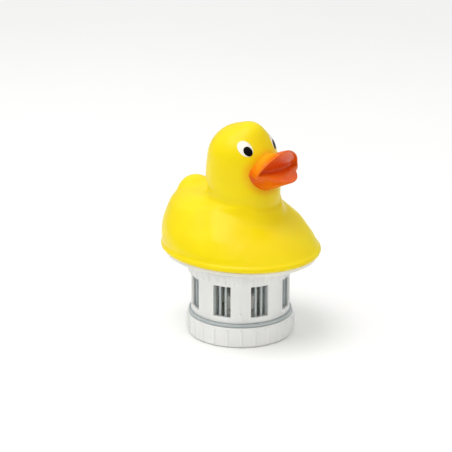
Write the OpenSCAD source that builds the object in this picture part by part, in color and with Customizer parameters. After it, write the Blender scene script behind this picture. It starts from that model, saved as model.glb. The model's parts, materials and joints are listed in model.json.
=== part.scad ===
// Floating chlorine dispenser: a duck-shaped float over a slotted tablet canister.
// Frame: +Z up, the duck looks along -Y, origin under the middle of the screw cap.

/* [Duck] */
// Length of the duck over its rim
duck_l = 132; // [131.6:0.1:132.4]
// Width of the duck over its rim
duck_w = 116.4; // [116:0.1:117]
// Thickness of the soft skin and of its flange
skin = 2.2; // [1.8:0.1:2.4]
// Radius of the head
head_r = 27; // [26.8:0.1:27.2]

/* [Float pan] */
// Length of the oval pan
pan_l = 125; // [124.6:0.1:127]
// Width of the oval pan
pan_w = 110; // [109:0.5:112]
// Thickness of the pan's plate
pan_t = 2.7; // [2.4:0.1:3.2]
// Height of the neck between pan and canister
neck_h = 6; // [5.6:0.1:8]
// Radius of the tether hole
tether_r = 3; // [2.5:0.1:3.2]

/* [Canister] */
// Outer radius of the canister
can_r = 36; // [36:0.1:36]
// Wall of the canister
can_wall = 2.4; // [2:0.1:2.4]
// Height of the canister
can_h = 50.5; // [50.5:0.5:54]
// Width of one slot
slot_w = 3.2; // [2.4:0.1:3.2]
// Number of slot groups, and of windows in the sleeve
groups = 8; // [8:1:8]

/* [Tablets] */
// Diameter of a tablet
tablet_d = 25.4; // [24:0.1:25.6]
// Thickness of a tablet
tablet_t = 14; // [12:0.5:14]

/* [Screw cap] */
// Outer radius of the cap under its grip ribs
cap_r = 41.5; // [41.2:0.1:42]
// Height of the cap
cap_h = 16.2; // [16.2:0.1:16.4]
// Height that one full turn of the thread rises
lead = 12; // [11.6:0.1:12]
// Number of grip ribs
grip_ribs = 24; // [18:1:30]

/* [Hidden] */
$fn = 96;

// Heights, from the base up
cap_floor = 2.4;
ballast_z = 2.6;
ballast_t = 3.2;
cover_z = 6;
cover_t = 1.4;
seal_z = 7.5;
seal_t = 0.6;
can_z = 8.2;
tray_z = 8.6;
tray_t = 2;
// Fingers that key the tray between the canister's ribs, and the radius they stand at
finger_r = 30.4;
finger_w = 7;
finger_h = 30.6;
collar_z = 16.8;
collar_t = 2;
collar_r = 40.4;
can_top = can_z + can_h;
flange_t = 3;
flange_r = 19;
pan_z = can_top + neck_h;
gasket_t = 0.8;
rim_z = pan_z + pan_t + gasket_t;
ring_z = rim_z + skin;

// Screws through pan, gasket and flange into the clamp ring
clamp_a = 53;
clamp_b = 48.5;
clamp_n = 8;
clamp_boss = 6;
clamp_boss_r = 3;
screw_r = 1.5;
screw_fit = 1.52;
screw_clear = 1.75;
// Inner edge of flange, gasket and clamp ring
open_a = 49;
open_b = 44.5;
// Outer edge of the clamp ring
ring_a = 58.5;
ring_b = 52.5;
ring_t = 3;
// Foam block: height of its straight foot, and the size and height of its top
foam_foot = 12;
foam_a = 38;
foam_b = 31;
foam_h = 26;

// Neck of the pan, from the canister up
neck_low = 40;
neck_high = 44;
neck_wall = 3;

// Eye for a cord, under the rear of the pan
tether_at = [0, 56, pan_z - 3.7];
tether_w = 5;
tether_lug = 5.5;

// Screws between canister and pan
can_screw_pcd = 48;
// Screws in the cap
cap_screw_pcd = 60;
cap_screw_r = 1.3;

// Sleeve
sleeve_r = 36.5;
sleeve_wall = 2.2;
sleeve_z = collar_z + collar_t + 0.3;
sleeve_top = can_top - 0.5;
stop_top = collar_z + collar_t + 2.8;
slot_z = 23.2;
slot_h = 26;
slot_step = 7.6;
group_at = 180 / groups;
window_w = 21.6;
// Grip band at the sleeve's top, and its flutes
grip_h = 7.2;
grip_r = 41.2;
flute_r = 1.9;
oring_z = sleeve_top - 4.2;

// Thread: three starts, male lugs on the canister and female bands in the cap
thread_n = 3;
lug_r = 38.2;
lug_t = 1.6;
lug_z = 9.9;
lug_span = 50;
band_r = 36.6;
band_t = 1.5;
band_lift = 1.85;
band_from = -80;
band_to = 110;
thread_slope = atan(lead / (2 * PI * 37.5));
cap_in = 39;
// Ring the cover rests on, and the ballast ring's edges
curb_in = 20.5;
curb_out = 22.5;
ballast_in = 23;
ballast_out = 37.5;

// Cross-sections of the duck's body: height over the rim, centre along Y, half length, half width
half_l = duck_l / 2;
half_w = duck_w / 2;
body_rows = [[4.6, 0.5, half_l - 1.6, half_w - 1.6], [10.5, 3.2, half_l - 3.6, half_w - 2.8],
    [20, 8.4, half_l - 9, half_w - 7.2], [26, 12.4, half_l - 14.3, half_w - 11.9],
    [34, 17.4, half_l - 21.8, half_w - 18.2], [39.5, 20.5, half_l - 31, half_w - 28],
    [42.5, 22, half_l - 41, half_w - 38]];
head_at = [0, -1.8, 73.2];
crown_at = [0, -8.5, 95.3];
crown_r = 7.6;

// Bill: distance in front of the canister's axis, half width, height at the sides, height in the middle
upper_rows = [[16, 11.5, 65, 80], [24, 14.6, 66.5, 82], [31, 17.2, 69, 83], [38, 18.6, 72.5, 84.4],
    [44, 18.4, 77, 86.4], [50, 15.5, 83, 88.6], [53, 11, 86.5, 89.4], [60, 4, 90, 91]];
lower_rows = [[16, 11.5, 66, 51.4], [24, 14.6, 66, 51.2], [31, 15.8, 66.6, 52.6], [38, 16.2, 67.4, 55.4],
    [45, 14.8, 67.6, 59.2], [52, 11.6, 67.2, 62.6], [57, 8, 66.8, 64.8]];
bill_mid = 68.6;
crease = [41.5, 70.6];
lip = 2.6;

function oval(a, b, n = 72) = [for (i = [0:n - 1]) [b * cos(360 * i / n), a * sin(360 * i / n)]];
function clamp_at(i) = let(t = 360 * (i + 0.5) / clamp_n) [clamp_b * cos(t), clamp_a * sin(t)];

module oval_plate(a, b, t) linear_extrude(height = t) polygon(oval(a, b));

module ring(r_in, r_out, h) difference() {
    cylinder(r = r_out, h = h);
    translate([0, 0, -1]) cylinder(r = r_in, h = h + 2);
}

module at_clamps() for (i = [0:clamp_n - 1]) translate(clamp_at(i)) children();

// One thread segment: part of a ring between two radii, cut by a slab that climbs at the thread's slope
module thread_piece(at, span, z, r_in, r_out, t) rotate([0, 0, at]) intersection() {
    rotate([0, 0, -span / 2]) rotate_extrude(angle = span) translate([r_in, z - 3]) square([r_out - r_in, 6]);
    translate([37, 0, z]) rotate([thread_slope, 0, 0]) cube([30, 60, t], center = true);
}

// A pan-head screw that points up, its head under z = 0, with a cross recess
module pan_screw(shaft_r, shaft_l, head_r, head_t) difference() {
    union() {
        cylinder(r = shaft_r, h = shaft_l - 1);
        translate([0, 0, shaft_l - 1]) cylinder(r1 = shaft_r, r2 = shaft_r * 0.5, h = 1);
        translate([0, 0, -head_t]) cylinder(r1 = head_r * 0.8, r2 = head_r, h = head_t * 0.4);
        translate([0, 0, -head_t * 0.6]) cylinder(r = head_r, h = head_t * 0.6);
    }
    for (a = [0, 90]) rotate([0, 0, a]) translate([-head_r * 0.55, -0.35, -head_t - 1])
        cube([head_r * 1.1, 0.7, 1 + head_t * 0.45]);
}

// Duck ------------------------------------------------------------------------------------------

module body_slab(row, inset) translate([0, row[1], row[0] - inset])
    scale([row[3] - inset, row[2] - inset, 1]) cylinder(r = 1, h = 0.4, $fn = 64);

module ball(at, size) translate(at) scale(size) sphere(r = 1, $fn = 32);

// Neck in two stages: straight under the head, then flared onto the body
module neck(inset) {
    hull() {
        body_slab([66, -1.8, 26.2, 26.2], inset);
        body_slab([46, -4.3, 28.6, 27.8], inset);
    }
    hull() {
        body_slab([46, -4.3, 28.6, 27.8], inset);
        body_slab([28, -4, 29.8, 30], inset);
    }
}

// Head, neck and tail, drawn in by the inset
module duck_upper(inset) {
    hull() {
        translate(head_at) sphere(r = head_r - inset, $fn = 44);
        translate(crown_at) sphere(r = crown_r - inset, $fn = 24);
    }
    neck(inset);
    hull() {
        for (x = [-3.6, 3.6]) ball([x, 51.5, 38.4], [9.2 - inset, 9.2 - inset, 9.2 - inset]);
        ball([0, 42, 20], [25 - inset, 18 - inset, 18 - inset]);
    }
}

module duck_body(inset) hull() for (row = body_rows) body_slab(row, inset);

module wing(side) hull() {
    ball([side * 25.5, -20, 19.5], [8, 12, 8]);
    ball([side * 36, 2, 23], [10.4, 17, 9.5]);
    ball([side * 25, 4, 32.3], [8.4, 15, 6.7]);
    ball([side * 33, 27, 26], [8, 9, 7]);
}

module rim_bead() hull() {
    oval_plate(half_l - 1.6, half_w - 1.6, 4.6);
    translate([0, 0, 1.3]) oval_plate(half_l, half_w, 2);
}

module duck_shell() color("gold") translate([0, 0, rim_z]) difference() {
    union() {
        rim_bead();
        duck_body(0);
        duck_upper(0);
        wing(-1);
        wing(1);
    }
    difference() {
        union() {
            duck_body(skin);
            translate([0, 0, skin]) oval_plate(half_l - 1.7 - skin, half_w - 1.7 - skin, 1);
            duck_upper(skin);
        }
        translate([0, 0, -1]) cube([200, 200, 2 + 2 * skin], center = true);
    }
    translate([0, 0, -1]) oval_plate(open_a, open_b, skin + 2);
    at_clamps() translate([0, 0, -1]) cylinder(r = screw_clear, h = skin + 2, $fn = 24);
}

// Cross-section of the bill at one row, between an arch or trough and a flat base. The arch can be lowered
// square to itself, and reach past the row's half width, where 8 is that width.
module bill_slab(row, base, lower = 0, reach = 8) translate([0, -row[0], 0]) rotate([90, 0, 0])
    linear_extrude(height = 0.1) polygon(concat(
        [[row[1] * reach / 8, base], [-row[1] * reach / 8, base]],
        [for (i = [-reach:reach]) let(bend = (row[3] - row[2]) * i / 64)
            [row[1] * i / 8, row[3] - bend * i - lower * sqrt(1 + pow(16 * bend / row[1], 2))]]));

module bill_loft(rows, base, lower = 0, reach = 8) for (i = [0:len(rows) - 2]) hull() {
    bill_slab(rows[i], base, lower, reach);
    bill_slab(rows[i + 1], base, lower, reach);
}

// Rounds the bill's front in plan
module bill_nose(at, r, stretch) hull() {
    translate([0, -at, 40]) scale([1 / stretch, 1, 1]) cylinder(r = r, h = 60, $fn = 48);
    translate([-30, -at, 40]) cube([60, 30, 60]);
}

// The bill: an arched upper half and a spoon-shaped lower half, parted in front by an open mouth
module bill() color("darkorange") translate([0, 0, rim_z]) difference() {
    union() {
        intersection() {
            bill_loft(upper_rows, bill_mid);
            bill_nose(35, 17.8, 0.96);
        }
        intersection() {
            bill_loft(lower_rows, bill_mid);
            bill_nose(41, 14.8, 0.95);
        }
    }
    intersection() {
        rotate([90, 0, -90]) linear_extrude(height = 80, center = true)
            polygon([crease, [60, crease[1] - 6.3], [60, 110], [crease[0] + 16, 110]]);
        bill_loft([for (row = upper_rows) if (row[0] > 30) row], 50, lip, 11);
    }
    translate(head_at) sphere(r = head_r + 0.2, $fn = 44);
    neck(-0.2);
    duck_body(-0.2);
}

// A pair of thin oval caps that lie on the head, their tops tilted back
module eye_caps(r_in, r_out, rise, turn, tilt, across, high) for (side = [-1, 1]) translate([0, 0, rim_z])
    translate(head_at) intersection() {
        difference() {
            sphere(r = r_out, $fn = 240);
            sphere(r = r_in, $fn = 240);
        }
        rotate([0, 0, -90 + side * turn]) rotate([0, -rise, 0]) rotate([-side * tilt, 0, 0])
            rotate([0, 90, 0]) scale([high / across, 1, 1]) cylinder(r = across, h = 2 * head_r, $fn = 240);
    }

module eye_whites() color("white") eye_caps(head_r + 0.15, head_r + 0.75, 30.3, 40.5, 41, 5.1, 7.2);

module eye_pupils() color("black") eye_caps(head_r + 0.8, head_r + 1.2, 24.7, 36, 37, 3, 4);

// Inside the duck and under its rim -------------------------------------------------------------

module foam_block() color("whitesmoke") hull() {
    translate([0, 0, rim_z - gasket_t + 0.2]) oval_plate(open_a - 1.4, open_b - 1.2, foam_foot);
    translate([0, 8, rim_z + foam_h - 1]) oval_plate(foam_a, foam_b, 1);
}

module clamp_ring() color("gainsboro") translate([0, 0, ring_z]) difference() {
    union() {
        difference() {
            oval_plate(ring_a, ring_b, ring_t);
            translate([0, 0, -1]) oval_plate(open_a, open_b, ring_t + 2);
        }
        at_clamps() cylinder(r = clamp_boss_r, h = clamp_boss);
    }
    at_clamps() translate([0, 0, -1]) cylinder(r = screw_fit, h = clamp_boss + 0.5);
}

module clamp_screws() color("silver") at_clamps() translate([0, 0, pan_z]) pan_screw(screw_r, 11, 2.8, 2);

module rim_gasket() color("dimgray") translate([0, 0, pan_z + pan_t]) difference() {
    oval_plate(pan_l / 2 - 1, pan_w / 2 - 1, gasket_t);
    translate([0, 0, -1]) oval_plate(open_a, open_b, gasket_t + 2);
    at_clamps() translate([0, 0, -1]) cylinder(r = screw_clear, h = gasket_t + 2);
}

module at_can_screws() for (a = [45:90:315]) rotate([0, 0, a])
    translate([can_screw_pcd / 2, 0, 0]) children();

module tether_eye() difference() {
    union() {
        translate([-tether_w / 2, tether_at[1] - tether_lug, tether_at[2]])
            cube([tether_w, 2 * tether_lug, pan_z - tether_at[2] + 0.5]);
        translate(tether_at) rotate([0, 90, 0]) cylinder(r = tether_lug, h = tether_w, center = true);
    }
    translate(tether_at) rotate([0, 90, 0]) cylinder(r = tether_r, h = 2 * tether_w, center = true);
}

module float_pan() color("white") difference() {
    union() {
        translate([0, 0, pan_z]) oval_plate(pan_l / 2, pan_w / 2, pan_t);
        translate([0, 0, can_top]) cylinder(r1 = neck_low, r2 = neck_high, h = neck_h + 0.01);
        for (a = [0:45:315]) rotate([0, 0, a]) translate([38, 0.8, can_top + 1.4])
            rotate([90, 0, 0]) linear_extrude(height = 1.6)
                polygon([[0, 0], [2, 0], [10.5, neck_h - 1.6], [10.5, neck_h - 1.2], [0, neck_h - 1.2]]);
        tether_eye();
    }
    difference() {
        translate([0, 0, can_top + neck_wall])
            cylinder(r1 = neck_low - neck_wall, r2 = neck_high - neck_wall, h = neck_h + pan_t);
        at_can_screws() cylinder(r = 4.2, h = pan_z + 2.3);
    }
    at_can_screws() translate([0, 0, can_top - 1]) cylinder(r = screw_fit, h = 8);
    at_clamps() translate([0, 0, pan_z - 1]) cylinder(r = screw_clear, h = pan_t + 2);
}

// Canister and sleeve ---------------------------------------------------------------------------

// A radial slot with chamfered ends, from z up
module radial_slot(w, z, h) translate([28, 0, z]) rotate([90, 0, 90]) linear_extrude(height = 16)
    polygon([[-w / 4, 0], [w / 4, 0], [w / 2, w / 4], [w / 2, h - w / 4], [w / 4, h], [-w / 4, h],
        [-w / 2, h - w / 4], [-w / 2, w / 4]]);

module canister() color("mintcream") difference() {
    union() {
        difference() {
            translate([0, 0, can_z]) cylinder(r = can_r, h = can_h);
            translate([0, 0, can_z - 1]) cylinder(r = can_r - can_wall, h = can_h - flange_t + 1);
            translate([0, 0, can_z]) cylinder(r = flange_r, h = can_h + 1);
        }
        translate([0, 0, collar_z]) ring(can_r - 1, collar_r, collar_t);
        for (a = [0:90:270], s = [-10, 10]) rotate([0, 0, a + s])
            translate([can_r - 4.6, -0.8, tray_z + 2.4]) cube([3, 1.6, can_h - 7.3]);
        for (i = [0:thread_n - 1])
            thread_piece(360 * i / thread_n, lug_span, lug_z, can_r - 1, lug_r, lug_t);
        // Stop for the sleeve, and the three marks of its setting
        rotate([0, 0, 87]) rotate_extrude(angle = 6)
            translate([can_r - 1, collar_z + 1]) square([3.7, stop_top - collar_z - 1]);
        for (i = [0:2]) rotate([0, 0, 225 + 11.25 * i - 0.7 * (i + 1)]) rotate_extrude(angle = 1.4 * (i + 1))
            translate([collar_r - 1.2, collar_z + 1]) square([1, collar_t - 0.4]);
    }
    for (g = [0:groups - 1], s = [-1:1]) rotate([0, 0, group_at + 360 * g / groups + slot_step * s])
        radial_slot(slot_w, slot_z, slot_h);
    translate([0, 0, oring_z - 1.05]) difference() {
        cylinder(r = can_r + 1, h = 2.1);
        translate([0, 0, -1]) cylinder(r = can_r - 1, h = 4.1);
    }
    at_can_screws() translate([0, 0, can_top - flange_t - 1]) cylinder(r = 2.1, h = flange_t + 2);
}

module canister_screws() color("silver") at_can_screws() translate([0, 0, can_top - flange_t])
    pan_screw(screw_r, 9, 3.2, 2);

module sleeve_oring() color("dimgray") translate([0, 0, oring_z]) rotate_extrude()
    translate([can_r - 0.25, 0]) circle(r = 0.7, $fn = 24);

module flow_sleeve() color("white") difference() {
    union() {
        translate([0, 0, sleeve_z]) cylinder(r = sleeve_r + sleeve_wall, h = sleeve_top - sleeve_z);
        translate([0, 0, sleeve_top - grip_h]) cylinder(r = grip_r, h = grip_h);
        // Pointer over the marks
        rotate([0, 0, 224]) rotate_extrude(angle = 2) translate([sleeve_r + 1, collar_z + collar_t + 1.4])
            square([2.1, 7]);
    }
    translate([0, 0, sleeve_z - 1]) cylinder(r = sleeve_r, h = can_h);
    for (g = [0:groups - 1]) rotate([0, 0, group_at + 360 * g / groups - window_w / 2])
        rotate_extrude(angle = window_w) translate([sleeve_r - 2, slot_z + 0.5]) square([5, slot_h - 1]);
    rotate([0, 0, 90 - 26.1]) rotate_extrude(angle = 29.7)
        translate([sleeve_r - 2, sleeve_z - 1]) square([5, stop_top + 1.4 - sleeve_z]);
    for (a = [0:10:350]) rotate([0, 0, a]) translate([grip_r + 1, 0, sleeve_top - grip_h - 1])
        cylinder(r = flute_r, h = grip_h + 2);
}

// Tray and tablets ------------------------------------------------------------------------------

module tablet_tray() color("white") difference() {
    union() {
        translate([0, 0, tray_z]) cylinder(r = can_r - can_wall - 1, h = tray_t);
        translate([0, 0, tray_z - 1]) ring(24, 26, 1.2);
        for (a = [0:90:270]) rotate([0, 0, a]) translate([finger_r, -finger_w / 2, tray_z + 1])
            cube([2, finger_w, finger_h]);
    }
    for (a = [15:30:345]) rotate([0, 0, a]) translate([7.5, -1.5, tray_z - 2]) cube([14.5, 3, tray_t + 3]);
    for (a = [22.5:45:337.5]) rotate([0, 0, a]) translate([29, 0, tray_z - 2])
        cylinder(r = 1.8, h = tray_t + 3);
    translate([0, 0, tray_z - 2]) cylinder(r = 3, h = tray_t + 3);
}

module tablet() rotate_extrude() polygon([[0, 0], [tablet_d / 2 - 1.8, 0], [tablet_d / 2, 1.8],
    [tablet_d / 2, tablet_t - 1.8], [tablet_d / 2 - 1.8, tablet_t], [0, tablet_t]]);

module tablet_layer(z) for (x = [-13, 13], y = [-13, 13]) translate([x, y, z]) tablet();

module tablets_lower() color("ivory") tablet_layer(tray_z + tray_t + 0.2);

module tablets_upper() color("ivory") tablet_layer(tray_z + tray_t + tablet_t + 0.5);

// Cap and ballast -------------------------------------------------------------------------------

module at_cap_screws() for (a = [30:120:270]) rotate([0, 0, a])
    translate([cap_screw_pcd / 2, 0, 0]) children();

module cap_seal() color("dimgray") translate([0, 0, seal_z])
    ring(can_r - can_wall - 0.2, cap_in - 0.6, seal_t);

module bottom_cap() color("white") {
    difference() {
        union() {
            rotate_extrude() polygon([[0, 0], [cap_r - 1.5, 0], [cap_r, 1.5], [cap_r, cap_h - 0.6],
                [cap_r - 0.6, cap_h], [0, cap_h]]);
            for (i = [0:grip_ribs - 1]) rotate([0, 0, 360 * i / grip_ribs])
                translate([cap_r - 0.3, 0, 2.4]) cylinder(r = 1.4, h = cap_h - 4.4);
        }
        translate([0, 0, cap_floor]) difference() {
            cylinder(r = cap_in, h = cap_h);
            ring(curb_in, curb_out, cover_z - cap_floor);
            at_cap_screws() cylinder(r = 3, h = cover_z - cap_floor);
        }
        for (a = [0:30:330]) rotate([0, 0, a]) translate([7, -1.8, -1]) cube([12.5, 3.6, cap_floor + 2]);
        translate([0, 0, -1]) cylinder(r = 2.5, h = cap_floor + 2);
        at_cap_screws() translate([0, 0, 1]) cylinder(r = cap_screw_r + 0.02, h = cap_h);
    }
    band_piece = (band_to - band_from) / 4;
    for (i = [0:thread_n - 1], k = [0:3]) {
        at = band_from + band_piece * (k + 0.5);
        thread_piece(360 * i / thread_n + at, band_piece + 0.6, lug_z + band_lift + lead * at / 360,
            band_r, cap_in + 0.3, band_t);
    }
}

module ballast_ring() color("lightsteelblue") translate([0, 0, ballast_z]) difference() {
    ring(ballast_in, ballast_out, ballast_t);
    at_cap_screws() translate([0, 0, -1]) cylinder(r = 3.4, h = ballast_t + 2);
}

module ballast_cover() color("gainsboro") translate([0, 0, cover_z]) difference() {
    ring(curb_in, cap_in - 0.4, cover_t);
    at_cap_screws() translate([0, 0, -1]) cylinder(r = cap_screw_r + 0.2, h = cover_t + 2);
}

module ballast_screws() color("silver") at_cap_screws() translate([0, 0, cover_z + cover_t])
    mirror([0, 0, 1]) pan_screw(cap_screw_r, 6, 2.4, 0.9);

duck_shell();
bill();
eye_whites();
eye_pupils();
foam_block();
clamp_ring();
clamp_screws();
rim_gasket();
float_pan();
canister();
canister_screws();
sleeve_oring();
flow_sleeve();
tablet_tray();
tablets_lower();
tablets_upper();
cap_seal();
bottom_cap();
ballast_ring();
ballast_cover();
ballast_screws();
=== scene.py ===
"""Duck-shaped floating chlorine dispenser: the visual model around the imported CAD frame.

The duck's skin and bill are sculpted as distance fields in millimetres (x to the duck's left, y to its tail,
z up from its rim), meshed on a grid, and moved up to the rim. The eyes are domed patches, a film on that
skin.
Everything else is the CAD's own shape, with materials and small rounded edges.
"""
import json
import math

import bpy
import numpy as np
from mathutils import Matrix, Vector


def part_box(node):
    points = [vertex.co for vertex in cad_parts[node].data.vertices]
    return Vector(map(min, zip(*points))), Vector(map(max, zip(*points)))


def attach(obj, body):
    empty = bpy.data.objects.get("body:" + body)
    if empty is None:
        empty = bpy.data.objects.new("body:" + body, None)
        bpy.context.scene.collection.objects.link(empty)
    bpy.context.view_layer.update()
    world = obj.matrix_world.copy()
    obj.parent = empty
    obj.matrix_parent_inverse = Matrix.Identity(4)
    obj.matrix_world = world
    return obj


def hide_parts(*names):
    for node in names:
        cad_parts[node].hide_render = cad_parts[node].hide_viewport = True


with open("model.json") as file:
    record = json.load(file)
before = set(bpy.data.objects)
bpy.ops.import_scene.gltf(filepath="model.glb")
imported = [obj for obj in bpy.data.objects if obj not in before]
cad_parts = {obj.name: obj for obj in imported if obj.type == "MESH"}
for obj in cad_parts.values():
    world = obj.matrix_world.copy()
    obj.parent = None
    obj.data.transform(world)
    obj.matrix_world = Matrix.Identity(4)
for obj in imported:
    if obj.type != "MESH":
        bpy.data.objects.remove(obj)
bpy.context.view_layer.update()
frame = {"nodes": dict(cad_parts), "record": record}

MM = 0.001
RIM_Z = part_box("duck_shell")[0].z / MM  # height of the duck's rim over the base, mm


# Camera ----------------------------------------------------------------------------------------

AZIMUTH, ELEVATION, DISTANCE = math.radians(-45), math.radians(18.8), 1.5
FRAME_WIDTH = 0.3517  # what the picture spans at the duck
RIM_RIGHT, RIM_DOWN = 0.0113, 0.0163  # where the rim's centre stands from the picture's middle
SENSOR = 36
LEVEL = math.cos(ELEVATION)
VIEW = Vector((math.sin(AZIMUTH) * LEVEL, -math.cos(AZIMUTH) * LEVEL, math.sin(ELEVATION)))
RIGHT = Vector((math.cos(AZIMUTH), math.sin(AZIMUTH), 0))
UP = VIEW.cross(RIGHT)


def add_camera():
    data = bpy.data.cameras.new("camera")
    data.sensor_width = SENSOR
    data.lens = SENSOR * DISTANCE / FRAME_WIDTH
    data.clip_start, data.clip_end = 0.05, 50
    camera = bpy.data.objects.new("camera", data)
    middle = Vector((0, 0, RIM_Z * MM)) - RIGHT * RIM_RIGHT + UP * RIM_DOWN
    turn = Matrix((RIGHT, UP, VIEW)).transposed().to_4x4()
    camera.matrix_world = Matrix.Translation(middle + VIEW * DISTANCE) @ turn
    bpy.context.scene.collection.objects.link(camera)
    bpy.context.scene.camera = camera


add_camera()


# Field tools -----------------------------------------------------------------------------------

def smin(a, b, k):
    """The smaller of two fields, blended where they are within k of each other."""
    h = np.clip(0.5 + 0.5 * (b - a) / k, 0, 1)
    return b + (a - b) * h - k * h * (1 - h)


def smax(a, b, k):
    return -smin(-a, -b, k)


def step(x, a, b):
    """0 below a, 1 above b, and smooth between."""
    t = np.clip((x - a) / (b - a), 0, 1)
    return t * t * (3 - 2 * t)


def curve(at, rows, column):
    """A smooth curve through the rows' points, from their first column to the given one."""
    xs = np.array([row[0] for row in rows], float)
    ys = np.array([row[column] for row in rows], float)
    slopes = np.gradient(ys, xs)
    i = np.clip(np.searchsorted(xs, at) - 1, 0, len(xs) - 2)
    span = xs[i + 1] - xs[i]
    t = np.clip((at - xs[i]) / span, 0, 1)
    t2, t3 = t * t, t * t * t
    return ((2 * t3 - 3 * t2 + 1) * ys[i] + (t3 - 2 * t2 + t) * span * slopes[i]
            + (3 * t2 - 2 * t3) * ys[i + 1] + (t3 - t2) * span * slopes[i + 1])


def ellipse(x, y, half_l, half_w):
    """Near-distance to an upright oval tube, half_l along y and half_w along x."""
    k0 = np.sqrt((x / half_w) ** 2 + (y / half_l) ** 2) + 1e-9
    k1 = np.sqrt((x / half_w ** 2) ** 2 + (y / half_l ** 2) ** 2) + 1e-9
    return k0 * (k0 - 1) / k1


def ellipsoid(p, at, size):
    """Near-distance to an ellipsoid with the half lengths in size."""
    q = [p[i] - at[i] for i in range(3)]
    k0 = np.sqrt(sum((q[i] / size[i]) ** 2 for i in range(3))) + 1e-9
    k1 = np.sqrt(sum((q[i] / size[i] ** 2) ** 2 for i in range(3))) + 1e-9
    return k0 * (k0 - 1) / k1


def sphere(p, at, r):
    return np.sqrt(sum((p[i] - at[i]) ** 2 for i in range(3))) - r


def capsule(p, a, b, ra, rb):
    """A rounded cone from a to b."""
    a, b = np.array(a, float), np.array(b, float)
    d = b - a
    t = np.clip(sum((p[i] - a[i]) * d[i] for i in range(3)) / (d @ d), 0, 1)
    return np.sqrt(sum((p[i] - a[i] - t * d[i]) ** 2 for i in range(3))) - (ra + (rb - ra) * t)


CORNERS = [(i, j, k) for i in (0, 1) for j in (0, 1) for k in (0, 1)]  # of a grid's cell


def surface_nets(f, lo, h):
    """Vertices and quads of a field's zero level on a grid: a vertex in each cell that the level crosses."""
    inside = f < 0
    n = np.array(f.shape) - 1
    count = sum(inside[tuple(slice(c[i], c[i] + n[i]) for i in range(3))].astype(np.int8) for c in CORNERS)
    active = (count > 0) & (count < len(CORNERS))
    cell = np.argwhere(active)
    index = -np.ones(active.shape, np.int64)
    index[active] = np.arange(len(cell))
    total, hits = np.zeros((len(cell), 3)), np.zeros(len(cell))
    for a in CORNERS:
        for axis in range(3):
            if a[axis]:
                continue
            b = list(a)
            b[axis] = 1
            fa = f[cell[:, 0] + a[0], cell[:, 1] + a[1], cell[:, 2] + a[2]]
            fb = f[cell[:, 0] + b[0], cell[:, 1] + b[1], cell[:, 2] + b[2]]
            hit = (fa < 0) != (fb < 0)
            point = np.tile(np.array(a, float), (len(cell), 1))
            point[:, axis] += np.where(hit, fa / np.where(hit, fa - fb, 1), 0)
            total += point * hit[:, None]
            hits += hit
    verts = np.array(lo) + (cell + total / hits[:, None]) * h
    quads = []
    for axis in range(3):
        u, v = (axis + 1) % 3, (axis + 2) % 3
        first, second = [slice(1, -1)] * 3, [slice(1, -1)] * 3
        first[axis], second[axis] = slice(0, -1), slice(1, None)
        a, b = inside[tuple(first)], inside[tuple(second)]
        base = np.argwhere(a != b)
        flip = a[a != b]
        for d in range(3):
            if d != axis:
                base[:, d] += 1
        du, dv = np.zeros(3, int), np.zeros(3, int)
        du[u], dv[v] = 1, 1
        quad = np.stack([index[tuple((base - o).T)] for o in (0 * du, du, du + dv, dv)], 1)
        quad[~flip] = quad[~flip][:, ::-1]
        quads.append(quad)
    return verts, np.concatenate(quads)


def grid(lo, hi, h):
    return np.meshgrid(*[np.arange(lo[i], hi[i] + h / 2, h) for i in range(3)], indexing="ij")


def sample(f, lo, h, points):
    """A grid's values between its points, at any points."""
    at = (points - np.array(lo)) / h
    cell = np.clip(np.floor(at).astype(int), 0, np.array(f.shape) - 2)
    t = at - cell
    total = 0
    for corner in CORNERS:
        share = [t[:, i] if corner[i] else 1 - t[:, i] for i in range(3)]
        total = total + share[0] * share[1] * share[2] * f[tuple((cell + corner).T)]
    return total


def mesh_grid(f, lo, h):
    """Meshes a grid's zero level, then slides the vertices onto it."""
    verts, quads = surface_nets(f, lo, h)
    slope = np.gradient(f, h)
    for _ in range(3):
        value = sample(f, lo, h, verts)
        g = np.stack([sample(part, lo, h, verts) for part in slope], 1)
        move = -(value / (np.sum(g ** 2, 1) + 1e-6))[:, None] * g
        length = np.linalg.norm(move, axis=1)[:, None] + 1e-9
        verts = verts + move * np.minimum(1, 0.4 * h / length)
    return verts, quads


def true_distance(f, h):
    """A near-distance field scaled so that it grows by one millimetre a millimetre."""
    return f / np.clip(np.sqrt(sum(g ** 2 for g in np.gradient(f, h))), 0.35, 2)


# Duck ------------------------------------------------------------------------------------------

# Body sections: height, middle along y, half length, half width
SECTIONS = [(-4, 0, 64.6, 56.8), (4.5, 0.5, 64.4, 56.6), (10.5, 3.2, 62.4, 55.4), (20, 8.4, 57, 51),
            (26, 12.4, 51.7, 46.3), (34, 17.4, 44.2, 40), (42, 22, 37, 33.5), (50, 26, 29, 26)]
HALF_L, HALF_W, BEAD = 66, 58.2, 2.3
BACK_Z = 42.5
WING_Z, WING_DROP, WING_OUT, WING_DEEP, WING_FOOT = 44, 8.5, 3, 7, 8
SHOULDER_Z = 42
TAIL_ROOT, TAIL_TIP, TAIL_ROOT_R, TAIL_TIP_R, TAIL_NARROW = (0, 42, 20), (0, 51.5, 38.4), 18, 9.2, 0.72
NECK_L, NECK_W, NECK_FROM, NECK_TO = 28.6, 27.8, 20, 74
HEAD, HEAD_R = (0, -1.8, 73.2), 27
CROWN, CROWN_R = (0, -11, 94.5), 6


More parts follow.
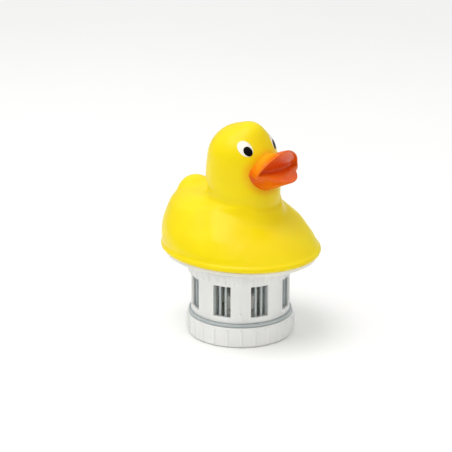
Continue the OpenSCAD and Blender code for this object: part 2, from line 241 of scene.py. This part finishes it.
def duck_field(p):
    """The duck's outer skin, with a flat underside at z = 0."""
    x, y, z = p
    side = ellipse(x, y - curve(z, SECTIONS, 1), curve(z, SECTIONS, 2), curve(z, SECTIONS, 3))
    body = smax(side, z - BACK_Z, 14)
    # Wings: a band that stands out of the sides, fades to the breast and the tail, and drops to the rear
    out = WING_OUT * step(z, 10, 26) * (1 - step(-y, 20, 42)) * (1 - step(y + 28 - 0.75 * z, -9, 9))
    slab = np.maximum(side - out, -side - WING_DEEP)
    top = WING_Z - WING_DROP * step(y, -28, 26)
    outline = smax(smax(z - top, -y - 40, 10), WING_FOOT - z, 4)
    body = smin(body, smax(slab, outline, 2.5), 1.5)
    # Shoulder: a cone round the neck's foot, lower at breast and rear
    flare = 0.42 * (SHOULDER_Z - z)
    shoulder = ellipse(x, y + 3, 28.6 + flare, 28 + flare)
    top = z - SHOULDER_Z + 5 * step(-y, 24, 32) + 3 * step(y, -22, -2)
    body = smin(body, smax(shoulder, top, 1.5), 3)
    tail = capsule((x * TAIL_NARROW, y, z), TAIL_ROOT, TAIL_TIP, TAIL_ROOT_R, TAIL_TIP_R)
    body = smin(body, tail, 6)
    # Neck: leans forward and is a little slimmer at its foot
    lean = 4.4 - 2.6 * step(z, 44, 60)
    slim = 1 - step(z, 42, 54)
    neck = ellipse(x, y + lean, NECK_L - slim, NECK_W - slim)
    neck = smax(smax(neck, z - NECK_TO, 14), NECK_FROM - z, 4)
    head = smin(sphere(p, HEAD, HEAD_R), sphere(p, CROWN, CROWN_R), 12)
    # The neck's foot is crisp at the breast and soft at sides and rear
    f = smin(body, smin(head, neck, 4), 3.5 + 6.5 * step(y, -18, 4))
    bead = np.sqrt(ellipse(x, y, HALF_L - BEAD, HALF_W - BEAD) ** 2 + (z - BEAD - 0.05) ** 2) - BEAD
    return smax(smin(f, bead, 1), -z, 0.8)


# Bill halves: distance in front of the middle, half width, height at the sides, height in the middle
UPPER = [(18, 15.5, 64.8, 80.2), (24, 16, 65.7, 81), (31, 18.3, 67.5, 82.4), (38, 21.9, 69.5, 84.6),
         (44, 22.9, 70.5, 87), (50, 22.6, 71.5, 89), (54, 22, 72, 90.5)]
LOWER = [(18, 14, 64.5, 52.8), (24, 15.6, 65.5, 52.8), (31, 16.8, 66.6, 54), (38, 17, 67.4, 56.6),
         (45, 15, 67.6, 60), (52, 11, 67.2, 63.2), (58, 7, 66.5, 65.5)]
ARCH_ACROSS, ARCH_UP = 1.65, 1.48  # powers of the upper half's round section
KEEL_ROUND = 2.6  # power of the lower half's round section
UPPER_NOSE, UPPER_FOOT = 48.4, 66.5
LOWER_NOSE_AT, LOWER_NOSE_R = 41, 13.7
LIP = 0.9
MOUTH_END, CORNER_Z = 41.3, 72.4  # how far back the mouth reaches, and the height of its corners
ROOT_AT, ROOT_SIZE = (0, -19, 65.7), (16.6, 18, 13.2)
BILL_FROM = 10


def bill_parts(p):
    """The bill without its mouth, and the mouth."""
    x, y, z = p
    u, ax = -y, np.abs(x)
    # Upper half: an arch, cut by a nose that runs back to the corners of the mouth
    w, rim, crest = (curve(u, UPPER, i) for i in (1, 2, 3))
    near, rise = ax / w, np.maximum(z - rim, 0) / (crest - rim)
    steep = np.sqrt((ARCH_ACROSS * near ** (ARCH_ACROSS - 1) / w) ** 2
                    + (ARCH_UP * rise ** (ARCH_UP - 1) / (crest - rim)) ** 2)
    arch = (near ** ARCH_ACROSS + rise ** ARCH_UP - 1) / np.maximum(steep, 0.03)
    back = step(ax, 8, 17) * (1 - step(z, 72, 81))
    nose = (u - UPPER_NOSE + x ** 2 / 60 + back) / np.sqrt(1 + (x / 30) ** 2)
    upper = smax(smax(arch, nose, 0.8), UPPER_FOOT - z, 2)
    # Lower half: a spoon whose edge rises to the corners
    w, rim, keel = (curve(u, LOWER, i) for i in (1, 2, 3))
    near = np.clip(ax / w, 0, 1.3)
    bottom = keel + (rim - keel) * near ** KEEL_ROUND
    steep = np.sqrt(1 + (KEEL_ROUND * (rim - keel) * near ** (KEEL_ROUND - 1) / w) ** 2)
    nose = np.sqrt((x * 0.95) ** 2 + np.maximum(u - LOWER_NOSE_AT, 0) ** 2) - LOWER_NOSE_R
    lower = smax(smax((bottom - z) / steep, nose, 2.5), z - rim - 5 + 2.5 * step(u, 37, 46), 1.6)
    # Mouth: from its rear end it opens up to the arch's lip and down to the spoon's floor
    run = u - (MOUTH_END - 3.6 * (x / 17) ** 2)
    sill = smax(CORNER_Z - 0.55 * run, rim - 0.4 - 3 * (1 - near ** 2) * step(u, 44, 52), 1)
    mouth = smax(smax((z - CORNER_Z - 2.5 * run) / 2.7, arch + LIP, 2), sill - z, 1.2)
    solid = smin(smin(upper, lower, 1.5), ellipsoid(p, ROOT_AT, ROOT_SIZE), 2)
    return np.maximum(solid, BILL_FROM - u), smax(mouth, -run, 1)


def bill_field(p):
    solid, mouth = bill_parts(p)
    return smax(solid, -mouth, 0.7)


SKIN, THINNEST = 2.2, 1.2
CLAMPS, CLAMP_A, CLAMP_B, CLAMP_HOLE = 8, 53, 48.5, 1.75
OPEN_A, OPEN_B = 49, 44.5
EDGE = 0.3  # how far the bill's colour reaches onto the face


def whole(duck, bill):
    """The outer skin of duck and bill together."""
    return smin(duck, bill, 1.6)


def bill_shape(duck, bill):
    """The bill outside the duck's skin, standing a hair proud of it where the two meet."""
    return smax(smax(whole(duck, bill) - 0.06, bill - EDGE, 0.45), -0.05 - duck, 0.3)


def duck_shape(p, h):
    """The duck's hollow skin, with the opening and the screw holes of its flange."""
    x, y, z = p
    duck, bill = duck_field(p), bill_field(p)
    outer = smin(smax(whole(duck, bill), EDGE - 0.2 - bill, 0.3), duck, 0.2)
    cavity = smax(np.maximum(true_distance(duck, h) + SKIN, duck + THINNEST), SKIN - z, 0.8)
    over_flange = z - SKIN - 1
    hole = np.maximum(ellipse(x, y, OPEN_A, OPEN_B), over_flange)
    for i in range(CLAMPS):
        t = 2 * math.pi / CLAMPS * (i + 0.5)
        screw = np.hypot(x - CLAMP_B * math.cos(t), y - CLAMP_A * math.sin(t)) - CLAMP_HOLE
        hole = np.minimum(hole, np.maximum(screw, over_flange))
    return np.maximum(np.maximum(outer, -cavity), -hole)


def add_mesh(name, verts, faces, material, body, stands_for):
    """A mesh of vertices in millimetres over the rim, on a body of the frame."""
    mesh = bpy.data.meshes.new(name)
    points = [tuple(v) for v in (verts + [0, 0, RIM_Z]) * MM]
    mesh.from_pydata(points, [], [tuple(int(i) for i in f) for f in faces])
    mesh.update()
    mesh.shade_smooth()
    mesh.materials.append(material)
    obj = bpy.data.objects.new(name, mesh)
    bpy.context.scene.collection.objects.link(obj)
    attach(obj, body)
    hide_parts(stands_for)
    return obj


def mark(obj, name, values):
    """Stores a number for each vertex, for a material to read."""
    obj.data.attributes.new(name, "FLOAT", "POINT").data.foreach_set("value", np.asarray(values, np.float32))


# Materials -------------------------------------------------------------------------------------

def new_material(name, **sockets):
    """A Principled material and its node tree; sockets are set by name, with _ for a space."""
    material = bpy.data.materials.new(name)
    material.use_nodes = True
    tree = material.node_tree
    shader = next(n for n in tree.nodes if n.type == "BSDF_PRINCIPLED")
    for key, value in sockets.items():
        shader.inputs[key.replace("_", " ")].default_value = value
    return material, tree, shader


def node(tree, kind, inputs=(), **settings):
    n = tree.nodes.new(kind)
    for key, value in settings.items():
        setattr(n, key, value)
    for key, value in dict(inputs).items():
        if isinstance(value, bpy.types.NodeSocket):
            tree.links.new(value, n.inputs[key])
        else:
            n.inputs[key].default_value = value
    return n


def place(tree):
    return node(tree, "ShaderNodeTexCoord").outputs["Object"]


def noise(tree, scale, detail=3.0, roughness=0.5, at=None):
    inputs = {"Vector": at or place(tree), "Scale": scale, "Detail": detail, "Roughness": roughness}
    return node(tree, "ShaderNodeTexNoise", inputs).outputs["Fac"]


def cells(tree, scale):
    return node(tree, "ShaderNodeTexVoronoi", {"Vector": place(tree), "Scale": scale}).outputs["Distance"]


def spread(tree, value, low, high, to_low=0.0, to_high=1.0):
    """A value's range from low to high, eased onto another range."""
    inputs = {"Value": value, "From Min": low, "From Max": high, "To Min": to_low, "To Max": to_high}
    return node(tree, "ShaderNodeMapRange", inputs, interpolation_type="SMOOTHSTEP").outputs["Result"]


def vertex_mark(tree, name):
    return node(tree, "ShaderNodeAttribute", attribute_name=name).outputs["Fac"]


def mix(tree, factor, a, b):
    n = node(tree, "ShaderNodeMix", data_type="RGBA")
    for socket, value in ((n.inputs[0], factor), (n.inputs[6], a), (n.inputs[7], b)):
        if isinstance(value, bpy.types.NodeSocket):
            tree.links.new(value, socket)
        else:
            socket.default_value = value
    return n.outputs[2]


def bumps(tree, shader, *layers):
    """Layers of (height, strength, distance in metres), the finest last."""
    last = None
    for height, strength, distance in layers:
        inputs = {"Height": height, "Strength": strength, "Distance": distance}
        if last is not None:
            inputs["Normal"] = last
        last = node(tree, "ShaderNodeBump", inputs).outputs["Normal"]
    tree.links.new(last, shader.inputs["Normal"])


def rgb(r, g, b):
    """sRGB 0-255 to a linear colour."""
    return tuple(((c / 255 + 0.055) / 1.055) ** 2.4 if c > 10 else c / 255 / 12.92 for c in (r, g, b)) + (1,)


def link(tree, value, shader, name):
    tree.links.new(value, shader.inputs[name])


def rough(tree, shader, scale, low, high, detail=3):
    """Roughness that wanders between two values."""
    link(tree, spread(tree, noise(tree, scale, detail), 0.3, 0.7, low, high), shader, "Roughness")


def duck_vinyl():
    """Soft satin vinyl, with faint clouds, and the bill's paint fading onto it where it is marked."""
    material, tree, shader = new_material(
        "duck_vinyl", IOR=1.45, Specular_IOR_Level=0.2, Coat_Weight=0.1, Coat_Roughness=0.22,
        Subsurface_Weight=0.2, Subsurface_Radius=(1.0, 0.62, 0.12), Subsurface_Scale=0.004)
    broad = spread(tree, noise(tree, 22, 2), 0.35, 0.68)
    body = mix(tree, broad, rgb(250, 224, 6), rgb(246, 217, 2))
    speck = spread(tree, noise(tree, 900, 2), 0.62, 0.78, 0, 0.10)
    body = mix(tree, speck, body, rgb(240, 204, 0))
    uneven = spread(tree, noise(tree, 160, 4), 0.3, 0.7, 0.75, 1.1)
    overspray = node(tree, "ShaderNodeMath", {0: vertex_mark(tree, "glow"), 1: uneven},
                     operation="MULTIPLY").outputs[0]
    link(tree, mix(tree, overspray, body, rgb(242, 150, 10)), shader, "Base Color")
    rough(tree, shader, 60, 0.31, 0.39)
    bumps(tree, shader, (noise(tree, 30, 2), 0.25, 0.0006), (noise(tree, 420, 3), 0.16, 0.00008),
          (noise(tree, 2600, 2), 0.12, 0.00003))
    return material


def bill_vinyl():
    """Glossier vinyl, paler high on its rear half, and with painted shade that makes the inside of the mouth
    darker and redder.
    """
    material, tree, shader = new_material(
        "bill_vinyl", IOR=1.5, Specular_IOR_Level=0.22, Coat_Weight=0.08, Coat_Roughness=0.12,
        Subsurface_Weight=0.12, Subsurface_Radius=(1.0, 0.3, 0.06), Subsurface_Scale=0.002)
    broad = spread(tree, noise(tree, 60, 2), 0.35, 0.65)
    body = mix(tree, broad, rgb(236, 104, 8), rgb(226, 90, 4))
    # Paler, yellower orange high on the outside of the bill's rear half, where this mark is set.
    body = mix(tree, vertex_mark(tree, "thin"), body, rgb(250, 160, 24))
    # Painted shade: the inside of the mouth turns darker and redder with depth into the bill.
    link(tree, mix(tree, vertex_mark(tree, "mouth_shade"), body, rgb(226, 74, 4)), shader, "Base Color")
    rough(tree, shader, 120, 0.22, 0.3)
    bumps(tree, shader, (noise(tree, 90, 2), 0.2, 0.0003), (noise(tree, 1500, 3), 0.12, 0.00004))
    return material


def eye_paint(name, colour, shade):
    material, tree, shader = new_material(name, IOR=1.45, Specular_IOR_Level=0.12)
    link(tree, mix(tree, spread(tree, noise(tree, 240, 3), 0.35, 0.7), colour, shade), shader, "Base Color")
    rough(tree, shader, 500, 0.12, 0.2)
    bumps(tree, shader, (noise(tree, 260, 2), 0.1, 0.0001))
    return material


MATERIALS = {
    "duck_vinyl": duck_vinyl(),
    "bill_vinyl": bill_vinyl(),
    "eye_white": eye_paint("eye_white", rgb(250, 247, 236), rgb(240, 235, 220)),
    "eye_black": eye_paint("eye_black", rgb(4, 4, 4), rgb(10, 9, 9)),
}

# Low corner, high corner and step of each grid
DUCK_LO, DUCK_HI, DUCK_STEP = (-61, -69, -3), (61, 69, 106), 1.1
BILL_LO, BILL_HI, BILL_STEP = (-24, -60, 46), (24, -8, 94), 0.5


def add_duck():
    shape = duck_shape(grid(DUCK_LO, DUCK_HI, DUCK_STEP), DUCK_STEP)
    verts, faces = mesh_grid(shape, DUCK_LO, DUCK_STEP)
    duck = add_mesh("duck_body", verts, faces, MATERIALS["duck_vinyl"], "float", "duck_shell")
    mark(duck, "glow", 0.5 * (1 - step(bill_field(verts.T), 0, 6)) * step(-verts[:, 1], 5, 20))


def add_bill():
    points = grid(BILL_LO, BILL_HI, BILL_STEP)
    shape = bill_shape(duck_field(points), bill_field(points))
    verts, faces = mesh_grid(shape, BILL_LO, BILL_STEP)
    bill = add_mesh("duck_bill", verts, faces, MATERIALS["bill_vinyl"], "float", "bill")
    solid = bill_parts(verts.T)[0]
    outside = 1 - step(-solid, 0.2, 0.8)
    # Mask of the mouth's painted shade: how far each vertex lies within the bill's solid, which is inside the
    # mouth.
    mark(bill, "mouth_shade", step(-solid, 0.8, 4.5))
    # The paler mark: rises with height on the bill's outer skin and fades out towards the tip.
    mark(bill, "thin", step(verts[:, 2], 67, 80) * (1 - step(-verts[:, 1], 32, 46)) * outside)


add_duck()
add_bill()


# Eyes ------------------------------------------------------------------------------------------

RINGS, SPOKES = 12, 64
PATCH_T = 0.25  # how far a patch reaches under its own edge


def on_skin(rays):
    """The distance along each ray from the head's middle to the duck's skin."""
    low, high = np.full(len(rays), HEAD_R - 5.0), np.full(len(rays), HEAD_R + 6.0)
    for _ in range(30):
        middle = (low + high) / 2
        inside = duck_field((np.array(HEAD) + rays * middle[:, None]).T) < 0
        low, high = np.where(inside, middle, low), np.where(inside, high, middle)
    return low


def eye_patch(side, turn, rise, wide, high, tilt, base, crown):
    """A domed oval film on the head: rings of vertices over the skin, and the same rings under them.

    turn and rise say where it is, in degrees from straight ahead and from level. wide and high are its half
    sizes, and tilt turns it. base is its edge's height over the skin, and crown how much its middle domes.
    """
    turn, rise, tilt = math.radians(turn), math.radians(rise), math.radians(tilt)
    out = np.array([side * math.sin(turn) * math.cos(rise), -math.cos(turn) * math.cos(rise), math.sin(rise)])
    across = np.array([side * math.cos(turn), math.sin(turn), 0])
    over = np.cross(across, out) * side * -1
    points, heights = [np.zeros(2)], [1.0]
    for i in range(1, RINGS + 1):
        r = math.sin(math.pi / 2 * i / RINGS)
        for j in range(SPOKES):
            t = 2 * math.pi * j / SPOKES
            a, b = r * wide * math.cos(t), r * high * math.sin(t)
            points.append(np.array([a * math.cos(tilt) - b * math.sin(tilt),
                                    a * math.sin(tilt) + b * math.cos(tilt)]))
            heights.append(math.sqrt(max(0, 1 - r ** 2)))
    points, heights = np.array(points), np.array(heights)
    rays = out * HEAD_R + points[:, :1] * across + points[:, 1:] * over
    rays /= np.linalg.norm(rays, axis=1)[:, None]
    skin = on_skin(rays)
    top = np.array(HEAD) + rays * (skin + base + crown * heights)[:, None]
    bottom = np.array(HEAD) + rays * (skin + base - PATCH_T)[:, None]
    faces = []
    n = len(points)
    for layer, turned in ((0, False), (n, True)):
        for j in range(SPOKES):
            k = (j + 1) % SPOKES
            fan = [layer, layer + 1 + j, layer + 1 + k]
            faces.append(fan[::-1] if turned else fan)
            for i in range(RINGS - 1):
                a, b = 1 + i * SPOKES, 1 + (i + 1) * SPOKES
                quad = [layer + a + j, layer + b + j, layer + b + k, layer + a + k]
                faces.append(quad[::-1] if turned else quad)
    last = 1 + (RINGS - 1) * SPOKES
    for j in range(SPOKES):
        k = (j + 1) % SPOKES
        faces.append([last + j, n + last + j, n + last + k, last + k])
    if side > 0:
        faces = [f[::-1] for f in faces]
    return np.concatenate([top, bottom]), faces


def add_eyes(name, material, slot, stands_for, **shape):
    verts, faces = [], []
    for side in (-1, 1):
        v, f = eye_patch(side, **shape)
        faces += [[i + sum(len(x) for x in verts) for i in face] for face in f]
        verts.append(v)
    return add_mesh(name, np.concatenate(verts), faces, MATERIALS[material], "float", stands_for)


add_eyes("eyes_white", "eye_white", "eye_white", "eye_whites",
         turn=40.5, rise=30.3, wide=5.1, high=7.3, tilt=-41, base=0.05, crown=0.4)
add_eyes("eyes_black", "eye_black", "eye_black", "eye_pupils",
         turn=36, rise=26, wide=3.2, high=4.35, tilt=-37, base=0.3, crown=0.3)


# The CAD's own pieces --------------------------------------------------------------------------

def moulded(name, light, dark, roughness, translucent=0.15, transmission=0.0):
    """Injection-moulded polypropylene: faint flow clouds, a fine spark-eroded texture, a few specks."""
    material, tree, shader = new_material(
        name, IOR=1.49, Transmission_Weight=transmission,
        Subsurface_Weight=translucent, Subsurface_Radius=(1.0, 0.95, 0.85), Subsurface_Scale=0.002)
    drawn_up = node(tree, "ShaderNodeMapping", {"Vector": place(tree), "Scale": (1, 1, 0.25)})
    flow = spread(tree, noise(tree, 35, 3, at=drawn_up.outputs["Vector"]), 0.35, 0.7)
    body = mix(tree, flow, light, dark)
    speck = spread(tree, noise(tree, 700, 2), 0.7, 0.78, 0, 0.25)
    link(tree, mix(tree, speck, body, tuple(0.8 * c for c in dark[:3]) + (1,)), shader, "Base Color")
    rough(tree, shader, 90, roughness - 0.05, roughness + 0.07)
    bumps(tree, shader, (noise(tree, 60, 2), 0.15, 0.0002), (noise(tree, 2200, 3), 0.2, 0.00004))
    return material


def chalk():
    """Pressed tablet powder, with a few bluish grains."""
    material, tree, shader = new_material(
        "tablet_chalk", IOR=1.45, Subsurface_Weight=0.1, Subsurface_Scale=0.001,
        Sheen_Weight=0.15, Sheen_Roughness=0.6)
    grain = noise(tree, 1600, 4, 0.7)
    body = mix(tree, spread(tree, grain, 0.35, 0.7), rgb(246, 245, 238), rgb(222, 222, 212))
    blue = spread(tree, cells(tree, 420), 0.16, 0.06, 0, 0.5)
    link(tree, mix(tree, blue, body, rgb(196, 208, 214)), shader, "Base Color")
    link(tree, spread(tree, grain, 0.3, 0.7, 0.8, 0.95), shader, "Roughness")
    bumps(tree, shader, (noise(tree, 300, 4, 0.65), 0.35, 0.0003), (grain, 0.5, 0.00012))
    return material


def rubber():
    """Pale silicone."""
    material, tree, shader = new_material(
        "seal_rubber", IOR=1.43, Subsurface_Weight=0.2, Subsurface_Scale=0.001)
    clouds = spread(tree, noise(tree, 200, 4), 0.35, 0.7)
    link(tree, mix(tree, clouds, rgb(214, 213, 206), rgb(196, 195, 188)), shader, "Base Color")
    rough(tree, shader, 500, 0.5, 0.66)
    bumps(tree, shader, (noise(tree, 1800, 4), 0.3, 0.00005))
    return material


def stainless():
    """Turned stainless steel."""
    material, tree, shader = new_material("stainless", Metallic=1.0, Anisotropic=0.3)
    lathe = {"Vector": place(tree), "Scale": 900, "Distortion": 3.0, "Detail": 3.0}
    turned = node(tree, "ShaderNodeTexWave", lathe, wave_type="RINGS", rings_direction="Z").outputs["Fac"]
    clouds = spread(tree, noise(tree, 120, 4), 0.35, 0.7)
    link(tree, mix(tree, clouds, rgb(206, 207, 209), rgb(176, 178, 181)), shader, "Base Color")
    rough(tree, shader, 700, 0.22, 0.38, detail=4)
    bumps(tree, shader, (turned, 0.12, 0.00003))
    return material


def bead_foam():
    """Closed-cell foam of small beads."""
    material, tree, shader = new_material("foam", IOR=1.4, Subsurface_Weight=0.3, Subsurface_Scale=0.002)
    beads = cells(tree, 380)
    between = spread(tree, beads, 0.3, 0.7)
    link(tree, mix(tree, between, rgb(246, 246, 244), rgb(226, 226, 222)), shader, "Base Color")
    rough(tree, shader, 300, 0.7, 0.85)
    bumps(tree, shader, (beads, 0.6, 0.0006), (noise(tree, 2500, 2), 0.2, 0.00005))
    return material


MATERIALS.update({
    "inner_plastic": moulded("inner_plastic", rgb(232, 231, 225), rgb(222, 221, 214), 0.5),
    "white_plastic": moulded("white_plastic", rgb(243, 243, 240), rgb(234, 235, 232), 0.38),
    "milky_plastic": moulded("milky_plastic", rgb(226, 234, 234), rgb(212, 222, 223), 0.34, 0.3, 0.35),
    "tablet_chalk": chalk(),
    "seal_rubber": rubber(),
    "stainless": stainless(),
    "foam": bead_foam(),
})
SLOTS = {part["node"]: part["material_slot"] for part in frame["record"]["subparts"]}
NO_BEVEL = {"bottom_cap"}  # it has its own chamfers, and its thread's edges are too short for a bevel

for name, obj in frame["nodes"].items():
    obj.data.materials.clear()
    obj.data.materials.append(MATERIALS[SLOTS[name]])
    if obj.hide_render:
        continue
    obj.modifiers.new("weld", "WELD").merge_threshold = 0.000002
    if name in NO_BEVEL:
        obj.data.shade_flat()
        continue
    bevel = obj.modifiers.new("bevel", "BEVEL")
    bevel.width = 0.00018
    bevel.segments = 2
    bevel.limit_method = "ANGLE"
    bevel.angle_limit = math.radians(40)
    obj.data.shade_smooth()


# Floor and light -------------------------------------------------------------------------------

FLOOR = 8  # half its side
LIT = Vector((0, 0, 0.11))  # what the light looks at
KEY_FROM, KEY_FAR, KEY_WIDE, KEY_POWER = -RIGHT * 0.55 + Vector((0, 0, 1)) * 1.5 + VIEW * 0.4, 1.3, 1.1, 8
SKY_LOW, SKY_HIGH = 0.24, 1.1  # strength at the horizon and overhead


def add_floor():
    mesh = bpy.data.meshes.new("floor")
    corners = [(-FLOOR, -FLOOR, 0), (FLOOR, -FLOOR, 0), (FLOOR, FLOOR, 0), (-FLOOR, FLOOR, 0)]
    mesh.from_pydata(corners, [], [(0, 1, 2, 3)])
    floor = bpy.data.objects.new("floor", mesh)
    bpy.context.scene.collection.objects.link(floor)
    material, tree, shader = new_material("floor", Roughness=0.6)
    clouds = spread(tree, noise(tree, 2.5, 3), 0.3, 0.7)
    link(tree, mix(tree, clouds, rgb(254, 254, 253), rgb(252, 252, 251)), shader, "Base Color")
    mesh.materials.append(material)


def add_key():
    data = bpy.data.lights.new("key", "AREA")
    data.shape, data.size, data.energy = "DISK", KEY_WIDE, KEY_POWER
    light = bpy.data.objects.new("key", data)
    direction = KEY_FROM.normalized()
    light.location = LIT + direction * KEY_FAR
    light.rotation_euler = direction.to_track_quat("Z", "Y").to_euler()
    bpy.context.scene.collection.objects.link(light)


def add_sky():
    """A white sky, dim at the horizon and bright overhead."""
    world = bpy.data.worlds.new("world")
    world.use_nodes = True
    tree = world.node_tree
    sky = tree.nodes["Background"]
    sky.inputs["Color"].default_value = (1, 1, 1, 1)
    towards = node(tree, "ShaderNodeTexCoord").outputs["Generated"]
    height = node(tree, "ShaderNodeSeparateXYZ", {0: towards}).outputs["Z"]
    link(tree, spread(tree, height, 0, 1, SKY_LOW, SKY_HIGH), sky, "Strength")
    bpy.context.scene.world = world


add_floor()
add_key()
add_sky()
bpy.context.scene.view_settings.view_transform = "Standard"
